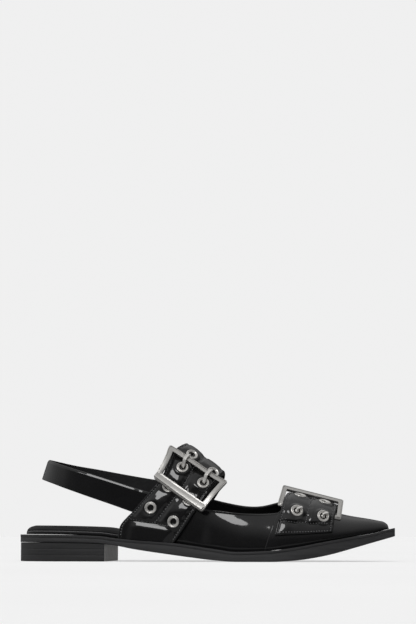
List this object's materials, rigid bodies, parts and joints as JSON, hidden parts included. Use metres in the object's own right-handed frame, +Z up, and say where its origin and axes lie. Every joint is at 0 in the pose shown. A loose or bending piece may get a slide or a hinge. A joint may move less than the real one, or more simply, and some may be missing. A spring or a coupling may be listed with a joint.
{
  "type": "slingback flat shoe",
  "caption": "Pointed-toe slingback flat in black patent leather, with wide padded straps, double-prong buckles and a low stacked heel.",
  "frame": {"origin": "middle of the sole's outline on the floor plane, half way along and across the shoe", "axes": "+X to the toe, -Y the outer side of the foot, +Z up"},
  "size_m": [0.275, 0.0858, 0.0865],
  "materials": {
    "patent_leather": "high gloss patent coating, black",
    "sole_rubber": "matte charcoal black",
    "heel_stack": "matte charcoal black with fine layer lines",
    "insole_lining": "smooth black lining, low gloss",
    "buckle_metal": "brushed antique silver"
  },
  "bodies": {
    "root": {"outsole": "sole_rubber", "heel": "heel_stack", "insole": "insole_lining", "upper": "patent_leather", "instep_strap": "patent_leather", "toe_strap": "patent_leather", "sling_strap": "patent_leather", "instep_buckle": "buckle_metal", "instep_buckle_bar": "buckle_metal", "toe_buckle": "buckle_metal", "instep_prong_back": "buckle_metal", "instep_prong_front": "buckle_metal", "toe_prong_back": "buckle_metal", "toe_prong_front": "buckle_metal", "instep_eyelet_back_1": "buckle_metal", "instep_eyelet_front_1": "buckle_metal", "instep_eyelet_back_2": "buckle_metal", "instep_eyelet_front_2": "buckle_metal", "instep_eyelet_back_3": "buckle_metal", "instep_eyelet_front_3": "buckle_metal", "instep_eyelet_back_4": "buckle_metal", "instep_eyelet_front_4": "buckle_metal", "toe_eyelet_back_1": "buckle_metal", "toe_eyelet_front_1": "buckle_metal", "toe_eyelet_back_2": "buckle_metal", "toe_eyelet_front_2": "buckle_metal"}
  },
  "joints": []
}
